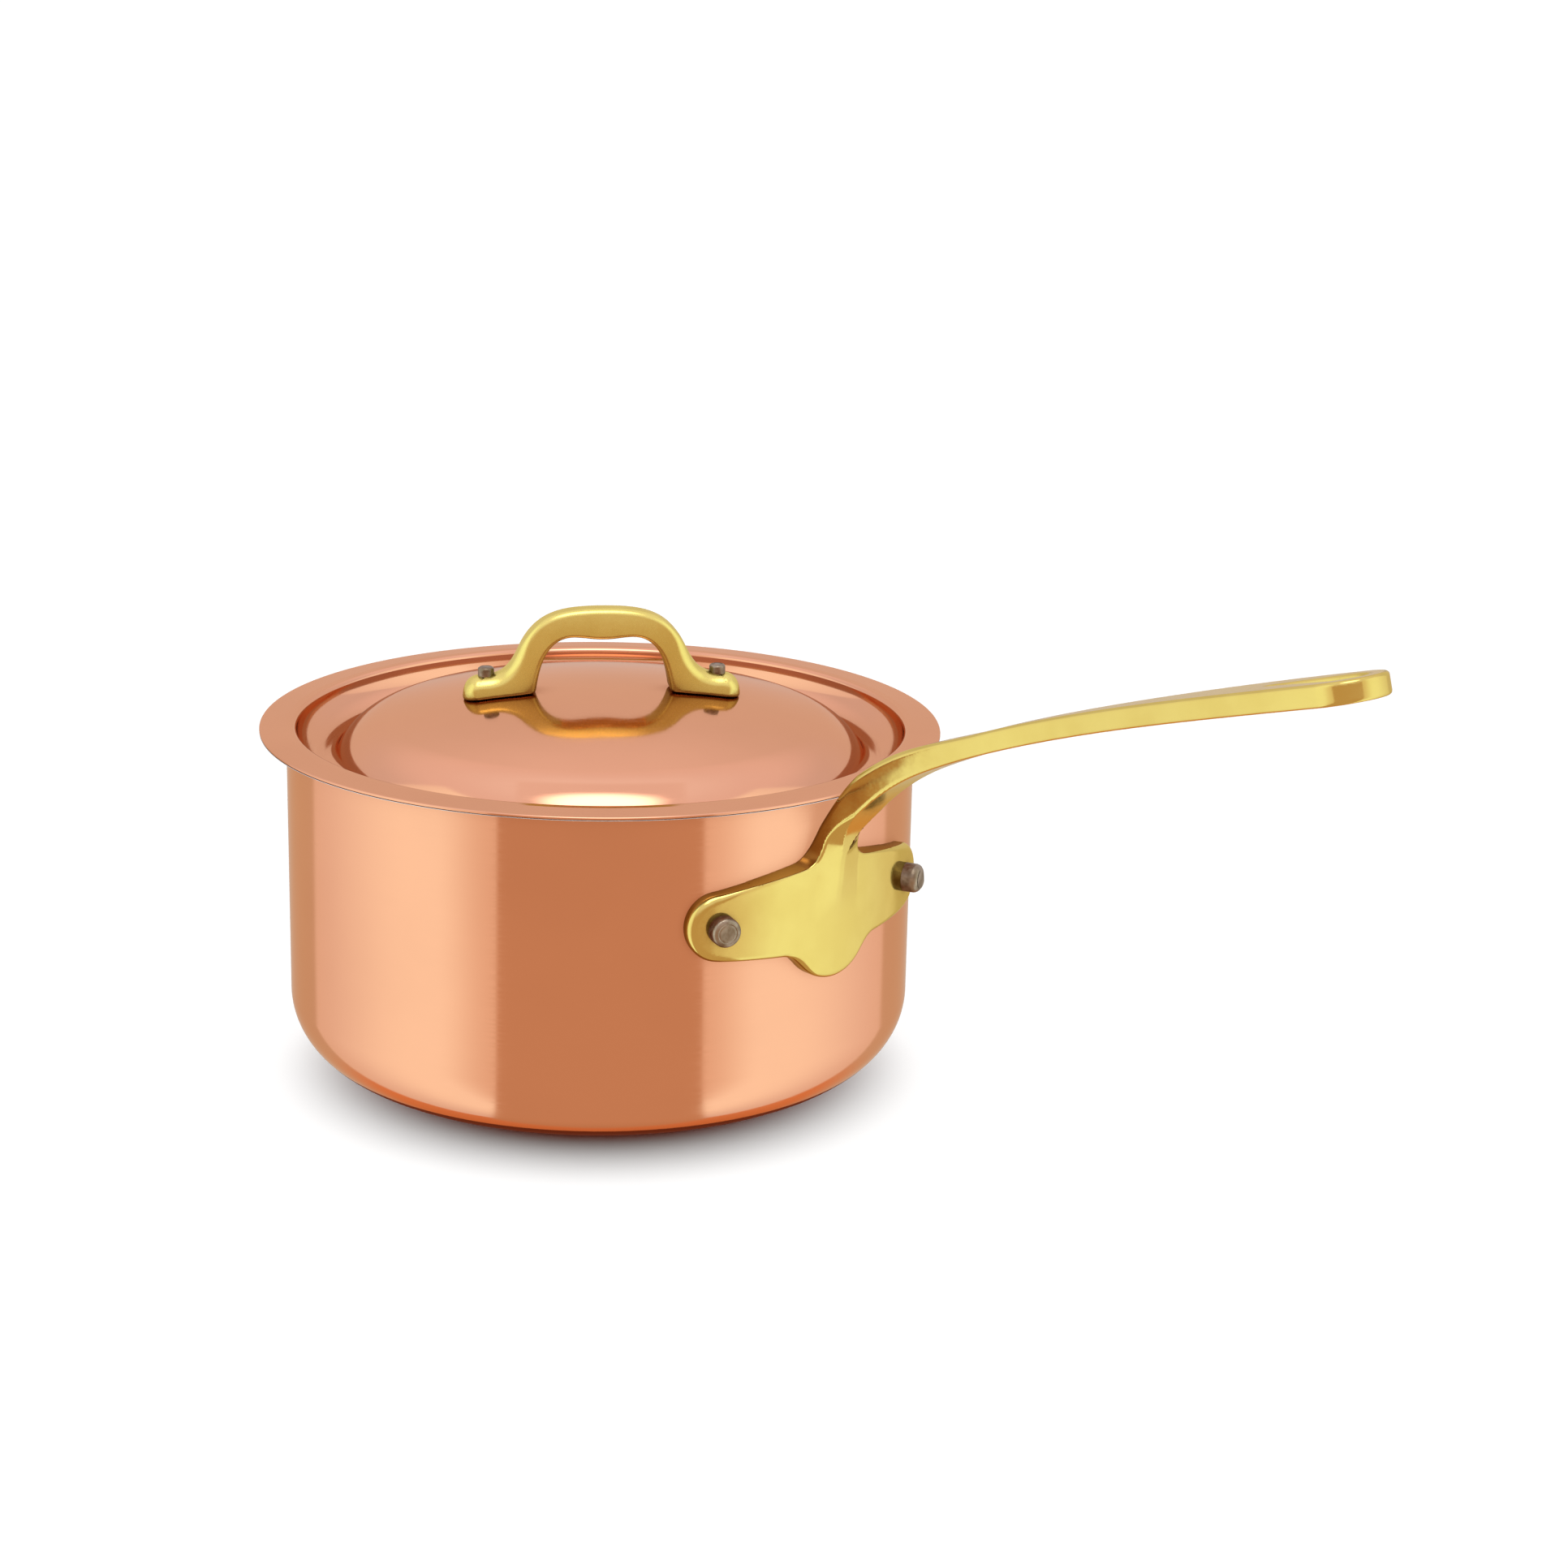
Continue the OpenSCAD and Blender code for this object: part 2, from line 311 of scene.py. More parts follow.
def bezier_speed(p, t):
    t = t[..., None]
    u = 1 - t
    return 3 * (u * u * (p[1] - p[0]) + 2 * u * t * (p[2] - p[1]) + t * t * (p[3] - p[2]))


TABLE_STEPS = 400
TABLE_STRIDE = 8
BATCH = 100000
TABLE_T = np.linspace(0, 1, TABLE_STEPS + 1)
TABLE_POINTS = bezier(BAR_LINE, TABLE_T)
TABLE_LENGTH = np.concatenate([[0], np.cumsum(np.hypot(*np.diff(TABLE_POINTS, axis=0).T))])
BAR_LENGTH = TABLE_LENGTH[-1]


def nearest_on_bar(x, z):
    """Distance along the long handle's middle line, and off it."""
    refinements = 5
    point = np.column_stack([x, z])
    coarse = TABLE_POINTS[::TABLE_STRIDE]
    best = np.empty(len(point), int)
    for i in range(0, len(point), BATCH):
        part = point[i:i + BATCH]
        gap = ((part[:, None, :] - coarse[None]) ** 2).sum(2)
        best[i:i + BATCH] = gap.argmin(1) * TABLE_STRIDE
    t = TABLE_T[best]
    for _ in range(refinements):
        at = bezier(BAR_LINE, t)
        way = bezier_speed(BAR_LINE, t)
        t = np.clip(t + ((point - at) * way).sum(1) / (way ** 2).sum(1), 0, 1)
    at = bezier(BAR_LINE, t)
    way = bezier_speed(BAR_LINE, t)
    way /= np.hypot(way[:, 0], way[:, 1])[:, None]
    off = point - at
    d = way[:, 1] * off[:, 0] - way[:, 0] * off[:, 1]
    q = np.interp(t, TABLE_T, TABLE_LENGTH) + (off * way).sum(1)
    return q, d


def taper(x, y, r0, r1, length):
    """A round of r0 at the start and a round of r1 at length, with straight sides between."""
    y = np.abs(y)
    b = (r0 - r1) / length
    a = math.sqrt(1 - b * b)
    k = -b * y + a * x
    first = np.hypot(x, y) - r0
    last = np.hypot(x - length, y) - r1
    side = x * b + y * a - r0
    return np.where(k < 0, first, np.where(k > a * length, last, side))


def handle_outline(s, q):
    """The handle laid flat: s across it, q along it from the top of the plate."""
    s = np.abs(s)
    z = q + BAR_LINE[0][1]
    loop_q = BAR_LENGTH - LOOP_HALF_W
    flare = (LOOP_HALF_W - NECK_HALF_W) * ease(q, start=loop_q - FLARE_LENGTH, length=FLARE_LENGTH)
    root = ROOT_FLARE * (1 - ease(q, start=2, length=30))
    start_q = -20
    strap = np.maximum(s - NECK_HALF_W - flare - root, q - loop_q)
    strap = np.maximum(strap, start_q - q)
    strap = np.minimum(strap, np.hypot(s, q - loop_q) - LOOP_HALF_W)
    lean = WING_LEAN * (1 - np.clip(s / WING_S, 0, 1))
    wing = taper(s, z - WING_Z - lean, WING_ROOT_R, WING_R, WING_S)
    lobe = np.hypot(s, z - LOBE_Z) - LOBE_R
    plate = blend_min(wing, lobe, 5)
    body = blend_min(plate, strap, 6)
    eye_q = loop_q + 1
    eye = taper(eye_q - q, s, EYE_R, EYE_POINT_R, EYE_LENGTH - EYE_R - EYE_POINT_R)
    return np.maximum(body, -eye)


def neck_roof(across, q):
    """How far the neck's front stands out: a ridge that widens to a flat as it climbs."""
    blunt, blunt_top = 0.6, 0.77
    off_ridge = np.sqrt(across ** 2 + blunt) - blunt_top
    flat_w = RIDGE_W + RIDGE_SPREAD * ease(q, start=4, length=26)
    down = np.clip((off_ridge - flat_w) / (RIDGE_SIDE_S - flat_w), 0, 1)
    rise = RIDGE_RISE * ease(q, start=-16, length=18) * (1 - ease(q, start=20, length=40))
    drop = SIDE_DROP * ease(q, start=3, length=12) * (1 - ease(q, start=35, length=45))
    past_neck = ease(off_ridge, start=9, length=4)
    return rise * (1 - down) - drop * down * (1 - past_neck)


def neck_back(q):
    """How far the neck's back stands out."""
    return BACK_CROWN * ease(q, start=16, length=22) * (1 - ease(q, start=46, length=40))


def wing_taper(across, q):
    """How much thinner the plate gets towards the ends of its wings."""
    outwards = ease(np.abs(across), start=16, length=32)
    return WING_THINNING * outwards * (1 - ease(q, start=2, length=10))


def front_edge_r(across, q):
    """How round the front's edges are: most at the wings' ends, least at the root of the neck."""
    along = 2.1 - 1.5 * ease(q, start=-6, length=10) + 0.5 * ease(q, start=30, length=30)
    return along + 0.9 * ease(np.abs(across), start=34, length=12)


def back_edge_r(q):
    """How round the back's edges are: nearly sharp against the wall, most under the neck."""
    return 0.5 + 1.7 * ease(q, start=4, length=8) - 1.1 * ease(q, start=40, length=40)


def handle_field(p):
    """The long handle's field at an array of points."""
    x, y, z = p.T
    on_plate = 1 - ease(z, start=86, length=12)
    r = np.hypot(x, y)
    across = y + (PLATE_MID_R * np.arctan2(y, x) - y) * on_plate
    out = x + (r - x) * on_plate
    q, d = nearest_on_bar(out, z)
    below = z < BAR_LINE[0][1]
    q = np.where(below, z - BAR_LINE[0][1], q)
    d = np.where(below, out - BAR_LINE[0][0], d)
    front = BAR_HALF_T + neck_roof(across, q) - wing_taper(across, q)
    back = BAR_HALF_T + neck_back(q)
    slab = np.maximum(d - front, -d - back)
    middle = (front - back) / 2
    edge = np.where(d > middle, front_edge_r(across, q), back_edge_r(q))
    edge = np.minimum(edge, (front + back) / 2)
    return rounded_meet(handle_outline(across, q), slab, edge)


def curve(points, steps):
    return bezier(np.array(points, float), np.linspace(0, 1, steps + 1))[1:]


def mirrored(half):
    return np.vstack([half, half[::-1] * [-1, 1]])


def grip_outside():
    """The lid handle's upper outline, seen from the side and closed below the crown."""
    tip = FOOT_TIP + FOOT_SPARE
    shoulder = [25.3, GRIP_TOP - 10]
    rivet_flat = [LID_RIVET_X, FOOT_Z]
    toe = [tip, FOOT_BASE_Z]
    return mirrored(np.vstack([
        curve([[0, GRIP_TOP], [14, GRIP_TOP], [20, GRIP_TOP - 2], shoulder], 24),
        curve([shoulder, [28.5, GRIP_TOP - 15], [29.5, FOOT_Z + 0.5], rivet_flat], 24),
        curve([rivet_flat, [tip - 2, FOOT_Z - 0.2], [tip, FOOT_Z - 3], toe], 16),
        [[tip, FOOT_BASE_Z - 6]]]))


def grip_opening():
    """The opening under the lid handle, closed below the crown."""
    middle_z = GRIP_TOP - GRIP_T
    palm_z = GRIP_TOP - GRIP_PALM_T
    leg_x = 22.2
    return mirrored(np.vstack([
        curve([[0, middle_z], [4, middle_z], [6, palm_z], [9.5, palm_z]], 10),
        curve([[9.5, palm_z], [17.4, palm_z], [21.2, GRIP_TOP - 17], [leg_x, FOOT_BASE_Z]], 24),
        [[leg_x, FOOT_BASE_Z - 16]]]))


def polygon_field(x, y, outline):
    """Signed distance to a closed outline."""
    best = np.full(len(x), 1e9)
    inside = np.zeros(len(x), bool)
    for (ax, ay), (bx, by) in zip(outline, np.roll(outline, -1, axis=0)):
        ex, ey = bx - ax, by - ay
        size = ex * ex + ey * ey
        if size < 1e-12:
            continue
        px, py = x - ax, y - ay
        t = np.clip((px * ex + py * ey) / size, 0, 1)
        best = np.minimum(best, (px - ex * t) ** 2 + (py - ey * t) ** 2)
        spans = (ay > y) != (by > y)
        if ey:
            inside ^= spans & (x < ax + ex * (y - ay) / ey)
    return np.where(inside, -1, 1) * np.sqrt(best)


GRIP_OUTSIDE = grip_outside()
GRIP_OPENING = grip_opening()


def grip_field(p):
    """The lid handle's field, in its own frame with x along the handle."""
    x, y, z = p.T
    s = np.abs(x)
    outside = polygon_field(s, z, GRIP_OUTSIDE)
    opening = -polygon_field(s, z, GRIP_OPENING)
    foot_x = FOOT_TIP + FOOT_SPARE - FOOT_R
    half_w = GRIP_HALF_DEPTH + (FOOT_R - GRIP_HALF_DEPTH) * ease(s, start=17, length=14)
    outwards = np.clip(1 + outside / 9.5, 0, 1)
    half_w = half_w - GRIP_CROWNING * outwards ** 1.4
    plan = np.maximum(np.abs(y) - half_w, s - foot_x)
    plan = np.minimum(plan, np.hypot(s - foot_x, y) - half_w)
    down = ease(GRIP_TOP - z, start=6, length=12)
    body = rounded_meet(outside, plan, 1.7 + 1.8 * down)
    body = rounded_meet(body, opening, 1.1 + 0.7 * down)
    crown_z = CROWN_TOP - CROWN_R
    gap = 0.05
    seat = CROWN_R + gap - np.sqrt(x * x + y * y + (z - crown_z) ** 2)
    return rounded_meet(body, seat, 1.3)


def slope(field, points, h=0.02):
    """The field's gradient at each point."""
    parts = []
    for axis in np.eye(3):
        parts.append((field(points + h * axis) - field(points - h * axis)) / (2 * h))
    return np.column_stack(parts)


def sample_near_surface(field, low, step, blocks, size):
    """The field on a grid, worked out exactly only in blocks near the surface."""
    reach = 1.4 * size * step
    batch = 4000
    index = np.indices(blocks).reshape(3, -1).T
    middle = low + (index * size + (size - 1) / 2) * step
    rough = field(middle)
    values = rough.reshape(blocks).repeat(size, 0).repeat(size, 1).repeat(size, 2)
    near = index[np.abs(rough) < reach]
    offsets = np.indices((size, size, size)).reshape(3, -1).T
    for i in range(0, len(near), batch):
        cells = (near[i:i + batch, None, :] * size + offsets[None]).reshape(-1, 3)
        values[tuple(cells.T)] = field(low + cells * step)
    return values


def surface_net(values, low, step):
    """One point in each cell that the surface crosses, and a face across each crossed edge."""
    inside = values < 0
    shape = np.array(values.shape) - 1
    count = np.zeros(shape, np.int8)
    for corner in np.ndindex(2, 2, 2):
        part = tuple(slice(c, c + n) for c, n in zip(corner, shape))
        count += inside[part]
    crossed = (count > 0) & (count < 8)
    cells = np.argwhere(crossed)
    number = np.full(shape, -1, np.int64)
    number[tuple(cells.T)] = np.arange(len(cells))
    points = low + (cells + 0.5) * step
    faces = []
    for axis in range(3):
        b, c = (axis + 1) % 3, (axis + 2) % 3
        first = np.moveaxis(inside, (axis, b, c), (0, 1, 2))
        ids = np.moveaxis(number, (axis, b, c), (0, 1, 2))
        change = first[:-1, 1:-1, 1:-1] != first[1:, 1:-1, 1:-1]
        i, j, k = np.nonzero(change)
        j += 1
        k += 1
        quad = np.column_stack([ids[i, j - 1, k - 1], ids[i, j, k - 1], ids[i, j, k], ids[i, j - 1, k]])
        leaving = first[i, j, k]
        faces.append(np.where(leaving[:, None], quad, quad[:, ::-1]))
    return points, np.vstack(faces)


def cast(name, field, low, high, step, size=8):
    """A smooth mesh of a field between two corners. Its points are drawn onto the surface."""
    pulls = 4
    low = np.array(low, float)
    blocks = tuple(np.ceil((np.array(high) - low) / (step * size)).astype(int))
    values = sample_near_surface(field, low, step, blocks, size)
    points, faces = surface_net(values, low, step)
    for _ in range(pulls):
        away = slope(field, points)
        points = points - away * (field(points) / np.maximum((away ** 2).sum(1), 0.2))[:, None]
    away = slope(field, points)
    away /= np.linalg.norm(away, axis=1)[:, None]
    return make_mesh(name, points, faces.tolist(), away)


# Pieces.

def pan_pieces():
    """The pan's two layers: the copper outside and the lining bonded to it."""
    copper = lathe("pan_copper", vessel_path(0, WALL_T - LINING_T, RIM_EDGE))
    steel = lathe("pan_steel", vessel_path(WALL_T - LINING_T, WALL_T, LINING_T / 2))
    return copper, steel


def lid_pieces():
    """The lid's two layers, copper above and the lining below."""
    copper = lathe("lid_copper", lid_path(0, LID_T - LINING_T, FLANGE_EDGE), segments=288)
    steel = lathe("lid_steel", lid_path(LID_T - LINING_T, LID_T, LINING_T / 2), segments=288)
    return copper, steel


def rivet_path(head_base, head_r, head_h, shank_r, seat, stub_r, stub_h, edge):
    """A rivet's section from the inner head's middle to the stub's middle."""
    foot = head_base - head_h
    dome_r = (head_r ** 2 + head_h ** 2) / (2 * head_h)
    rim = math.degrees(math.asin(head_r / dome_r))
    end = seat + stub_h
    ring = stub_r * 0.62
    ring_depth = 0.12
    middle = end - 0.02
    return join(
        arc(0, foot + dome_r, dome_r, -90, -90 + rim, 16)[:-1],
        line(head_r, head_base, shank_r, head_base),
        line(shank_r, head_base, shank_r, seat),
        line(shank_r, seat, stub_r, seat),
        line(stub_r, seat, stub_r, end - edge),
        arc(stub_r - edge, end - edge, edge, 0, 90, 10),
        line(stub_r - edge, end, ring + 0.25, end),
        line(ring + 0.25, end, ring, end - ring_depth),
        line(ring, end - ring_depth, ring - 0.5, middle),
        line(ring - 0.5, middle, 0, end))


def hammered(verts, centre, radius, height, seed, blows):
    """Presses flats into a stub's end, as a hammer does."""
    give = 0.85
    draw = np.random.default_rng(seed)
    for _ in range(blows):
        turn = draw.uniform(0, 2 * np.pi)
        tilt = draw.uniform(0.3, 1.0)
        way = np.array([np.sin(tilt) * np.cos(turn), np.sin(tilt) * np.sin(turn), np.cos(tilt)])
        corner = way[2] * height + np.hypot(way[0], way[1]) * radius
        plane = corner * draw.uniform(0.87, 0.94)
        depth = np.maximum((verts - centre) @ way - plane, 0)
        verts = verts - give * depth[:, None] * way
    return verts


def rivet(name, path, place, seat, stub_r, stub_h, seed, blows):
    """A rivet turned about Z, hammered and then put in its place."""
    verts, faces, _ = revolve(path, segments=72)
    verts = hammered(verts, np.array([0, 0, seat]), stub_r, stub_h, seed, blows)
    verts = np.array([place @ Vector(v) for v in verts])
    piece = make_mesh(name, verts, faces)
    piece.data.set_sharp_from_angle(angle=math.radians(50))
    return piece


def handle_rivet(name, side, end, edge, seed):
    """A rivet through a wing of the plate. Its stub ends at a distance from the pan's axis."""
    mouth_r = PAN_R - WALL_T
    clearance = 0.02
    head_base = math.sqrt(mouth_r ** 2 - RIVET_HEAD_R ** 2) - clearance
    seat = PAN_R + 2 * BAR_HALF_T - RIVET_SEAT_DEPTH
    stub_h = end - seat
    path = rivet_path(head_base, RIVET_HEAD_R, RIVET_HEAD_H, RIVET_SHANK_R, seat,
                      RIVET_STUB_R, stub_h, edge)
    turn = Matrix.Rotation(math.radians(side * RIVET_ANGLE), 4, "Z")
    lift = Matrix.Translation((0, 0, WING_Z))
    place = turn @ lift @ Matrix.Rotation(math.radians(90), 4, "Y")
    return rivet(name, path, place, seat, RIVET_STUB_R, stub_h, seed, 3)


def lid_rivet(name, side, seed):
    """A rivet through a foot of the lid handle."""
    crown_z = CROWN_TOP - CROWN_R
    rim_x = LID_RIVET_X + LID_RIVET_HEAD_R
    clearance = 0.05
    head_base = crown_z + math.sqrt(CROWN_R ** 2 - rim_x ** 2) - LID_T - clearance
    path = rivet_path(head_base, LID_RIVET_HEAD_R, LID_RIVET_HEAD_H, LID_RIVET_SHANK_R,
                      LID_RIVET_SEAT, LID_RIVET_STUB_R, LID_RIVET_STUB_H, edge=0.8)
    turn = Matrix.Rotation(math.radians(LID_TURN), 4, "Z")
    place = turn @ Matrix.Translation((side * LID_RIVET_X, 0, 0))
    return rivet(name, path, place, LID_RIVET_SEAT, LID_RIVET_STUB_R, LID_RIVET_STUB_H, seed, 7)


def long_handle():
    """The cast handle with its plate, which stands along the frame's X."""
    low, high = (82, -54, 47), (302, 54, 187)
    return cast("long_handle", handle_field, low, high, step=0.5)


def lid_grip():
    """The cast bridge on the lid, made along X and then turned to where it sits."""
    low, high = (-48, -10, 114), (48, 10, 151)
    piece = cast("lid_grip", grip_field, low, high, step=0.4)
    piece.data.transform(Matrix.Rotation(math.radians(LID_TURN), 4, "Z"))
    return piece


# Materials.

class Nodes:
    """Short calls for building a node tree."""

    def __init__(self, tree):
        self.tree = tree
        tree.nodes.clear()

    def add(self, kind, inputs=(), **settings):
        node = self.tree.nodes.new(kind)
        for key, value in settings.items():
            setattr(node, key, value)
        for key, value in dict(inputs).items():
            if isinstance(value, bpy.types.NodeSocket):
                self.tree.links.new(value, node.inputs[key])
            else:
                node.inputs[key].default_value = value
        return node

    def math(self, operation, a, b=0.0, c=0.0):
        node = self.add("ShaderNodeMath", {0: a, 1: b, 2: c}, operation=operation)
        return node.outputs[0]

    def ramp(self, value, low, high, to_low=0.0, to_high=1.0):
        """Maps value from low..high to to_low..to_high, with soft ends."""
        inputs = {"Value": value, "From Min": low, "From Max": high, "To Min": to_low, "To Max": to_high}
        node = self.add("ShaderNodeMapRange", inputs, interpolation_type="SMOOTHSTEP")
        return node.outputs["Result"]

    def mix(self, factor, a, b):
        node = self.add("ShaderNodeMix", {0: factor, 6: a, 7: b}, data_type="RGBA")
        return node.outputs[2]

    def noise(self, vector, scale, detail=2.0, roughness=0.5):
        inputs = {"Vector": vector, "Scale": scale, "Detail": detail, "Roughness": roughness}
        return self.add("ShaderNodeTexNoise", inputs).outputs["Fac"]

    def bump(self, height, strength, distance, normal=None):
        inputs = {"Height": height, "Strength": strength, "Distance": distance}
        if normal is not None:
            inputs["Normal"] = normal
        return self.add("ShaderNodeBump", inputs).outputs["Normal"]


def new_material(name):
    material = bpy.data.materials.new(name)
    material.use_nodes = True
    return material, Nodes(material.node_tree)


def finish_metal(n, colour, roughness, normal, edge=(1, 1, 1, 1)):
    """Edge tints what the metal reflects at a glancing angle."""
    shader = n.add("ShaderNodeBsdfPrincipled", {"Base Color": colour, "Roughness": roughness,
                                                "Normal": normal, "Metallic": 1.0,
                                                "Specular Tint": edge})
    n.add("ShaderNodeOutputMaterial", {"Surface": shader.outputs[0]})


def painted_corner_shade(n, colour, stain_and_shade, reach):
    """Painted shade: darkens the metal towards a darker colour in corners and hollows, where ambient
    occlusion finds little open sky.
    """
    open_sky = n.add("ShaderNodeAmbientOcclusion", {"Distance": reach}, samples=8).outputs["AO"]
    return n.mix(n.ramp(open_sky, 0.2, 0.85), stain_and_shade, colour)


def turned_coordinates(n, along, across):
    """Coordinates that run round the pan's axis: slow along the turning, fast across it."""
    place = n.add("ShaderNodeTexCoord").outputs["Object"]
    parts = n.add("ShaderNodeSeparateXYZ", {0: place}).outputs
    x, y, z = parts[0], parts[1], parts[2]
    radius = n.math("SQRT", n.math("ADD", n.math("MULTIPLY", x, x), n.math("MULTIPLY", y, y)))
    angle = n.math("ARCTAN2", y, x)
    vector = n.add("ShaderNodeCombineXYZ", {0: n.math("MULTIPLY", angle, along),
                                            1: n.math("MULTIPLY", z, across),
                                            2: n.math("MULTIPLY", radius, across)})
    return place, vector.outputs[0]


def copper_material():
    material, n = new_material("polished_copper")
    place, turned = turned_coordinates(n, along=6.0, across=1400.0)
    grain = n.noise(turned, scale=1.0, detail=3.0, roughness=0.6)
    clouds = n.noise(place, scale=18.0, detail=3.0)
    colour = n.mix(n.ramp(clouds, 0.3, 0.7), (0.93, 0.49, 0.305, 1), (0.965, 0.513, 0.32, 1))
    # Painted shade: the copper turns brown in corners and hollows, after ambient occlusion.
    colour = painted_corner_shade(n, colour, (0.66, 0.29, 0.16, 1), reach=0.012)
    spun = n.ramp(grain, 0.3, 0.7, 0.07, 0.12)
    handled = n.ramp(clouds, 0.4, 0.8, 0.0, 0.02)
    roughness = n.math("ADD", spun, handled)
    normal = n.bump(grain, strength=0.05, distance=0.00002)
    finish_metal(n, colour, roughness, normal, edge=(1, 0.8, 0.62, 1))
    return material


def brass_material(name, polish, dark, bright):
    """Cast brass, ground and polished down to a roughness."""
    material, n = new_material(name)
    place = n.add("ShaderNodeTexCoord").outputs["Object"]
    waves = n.noise(place, scale=70.0, detail=2.0)
    fine = n.noise(place, scale=900.0, detail=3.0)
    colour = n.mix(n.ramp(waves, 0.3, 0.7), dark, bright)
    # Painted shade: the brass turns dark brown in corners and hollows, after ambient occlusion.
    colour = painted_corner_shade(n, colour, (0.22, 0.11, 0.04, 1), reach=0.014)
    roughness = n.ramp(fine, 0.3, 0.7, polish, polish + 0.06)
    scratches = n.bump(fine, strength=0.04, distance=0.0001)
    normal = n.bump(waves, strength=0.25, distance=0.0005, normal=scratches)
    finish_metal(n, colour, roughness, normal, edge=(1, 0.9, 0.6, 1))
    return material


def steel_material():
    material, n = new_material("brushed_steel")
    place, turned = turned_coordinates(n, along=8.0, across=2500.0)
    grain = n.noise(turned, scale=1.0, detail=3.0, roughness=0.6)
    clouds = n.noise(place, scale=25.0, detail=2.0)
    colour = n.mix(n.ramp(clouds, 0.3, 0.7), (0.76, 0.76, 0.77, 1), (0.84, 0.84, 0.85, 1))
    roughness = n.ramp(grain, 0.3, 0.7, 0.26, 0.36)
    finish_metal(n, colour, roughness, n.bump(grain, strength=0.3, distance=0.00003))
    return material


def rivet_material():
    material, n = new_material("hammered_rivet")
    place = n.add("ShaderNodeTexCoord").outputs["Object"]
    dents = n.noise(place, scale=700.0, detail=3.0)
    stain_and_shade = n.noise(place, scale=250.0, detail=2.0)
    colour = n.mix(n.ramp(stain_and_shade, 0.35, 0.65), (0.27, 0.21, 0.14, 1), (0.44, 0.37, 0.28, 1))
    roughness = n.ramp(dents, 0.3, 0.7, 0.28, 0.5)
    finish_metal(n, colour, roughness, n.bump(dents, strength=0.35, distance=0.0002))
    return material


# Stage.

# The studio's colours, low to high: the gap on the camera's side, what is behind it and the panels.
FRONT_LOW = (0.58, 0.373, 0.25, 1)
FRONT_HIGH = (0.84, 0.75, 0.78, 1)
BACK_LOW = (0.62, 0.53, 0.45, 1)
BACK_MIDDLE = (0.69, 0.63, 0.66, 1)
BACK_HIGH = (0.83, 0.74, 0.78, 1)
BACK_TOP = (0.90, 0.86, 0.93, 1)
BACK_UNDER = (0.70, 0.31, 0.15, 1)
PANEL_NEAR = (0.84, 0.70, 0.60, 1)
PANEL_MIDDLE = (1.05, 1.06, 1.0, 1)
PANEL_FAR = (0.82, 0.75, 0.75, 1)
FLOOR_FILL = (0.16, 0.16, 0.16, 1)
LAMP_COLOUR = (3.0, 2.9, 2.8, 1)
CONTACT_COLOUR = (0.16, 0.05, 0.03, 1)

# Angles of the studio, in degrees.
PANEL_TOP = 48
PANEL_END = 129
LAMP_HEIGHT = 68
LAMP_CORE = 8
LAMP_SPREAD = 22


def camera():
    """Stands round the pan's axis, aims past it, and is turned a little on its own axis."""
    data = bpy.data.cameras.new("camera")
    data.lens = CAMERA_LENS
    data.sensor_width = 36
    data.clip_end = 100
    eye = bpy.data.objects.new("camera", data)
    bpy.context.scene.collection.objects.link(eye)
    round_axis = Matrix.Rotation(math.radians(CAMERA_AZIMUTH), 4, "Z")
    place = round_axis @ Matrix.Translation((0, -CAMERA_DISTANCE * MM, CAMERA_HEIGHT * MM))
    heading = Matrix.Rotation(math.radians(-CAMERA_AIM_RIGHT), 4, "Z")
    tilt = Matrix.Rotation(math.radians(90 - CAMERA_AIM_DOWN), 4, "X")
    roll = Matrix.Rotation(math.radians(CAMERA_ROLL), 4, "Z")
    eye.matrix_world = place @ heading @ tilt @ roll
    bpy.context.scene.camera = eye


def floor():
    """A pale floor far wider than the view."""
    half = 40
    corners = [(-half, -half, 0), (half, -half, 0), (half, half, 0), (-half, half, 0)]
    mesh = bpy.data.meshes.new("floor")
    mesh.from_pydata(corners, [], [(0, 1, 2, 3)])
    piece = bpy.data.objects.new("floor", mesh)
    bpy.context.scene.collection.objects.link(piece)
    material, n = new_material("floor")
    shader = n.add("ShaderNodeBsdfDiffuse", {"Color": (0.9, 0.9, 0.9, 1)})
    n.add("ShaderNodeOutputMaterial", {"Surface": shader.outputs[0]})
    mesh.materials.append(material)
    piece.visible_glossy = False


def disc(name, radius, height):
    """A flat round of the stage, at a height above the floor."""
    steps = 96
    turn = np.linspace(0, 2 * np.pi, steps, endpoint=False)
    verts = [(radius * MM * math.cos(a), radius * MM * math.sin(a), height * MM) for a in turn]
    mesh = bpy.data.meshes.new(name)
    mesh.from_pydata(verts, [], [list(range(steps))])
    piece = bpy.data.objects.new(name, mesh)
    bpy.context.scene.collection.objects.link(piece)
    return piece


def contact_shade():
    """The dark of the contact under the pan, which only its base reflects."""
    piece = disc("contact_shade", radius=PAN_R - 11, height=-0.1)
    material, n = new_material("contact_shade")
    shader = n.add("ShaderNodeEmission", {"Color": CONTACT_COLOUR, "Strength": 1.0})
    n.add("ShaderNodeOutputMaterial", {"Surface": shader.outputs[0]})
    piece.data.materials.append(material)
    piece.visible_camera = False
    piece.visible_diffuse = False
    piece.visible_shadow = False
    piece.visible_transmission = False


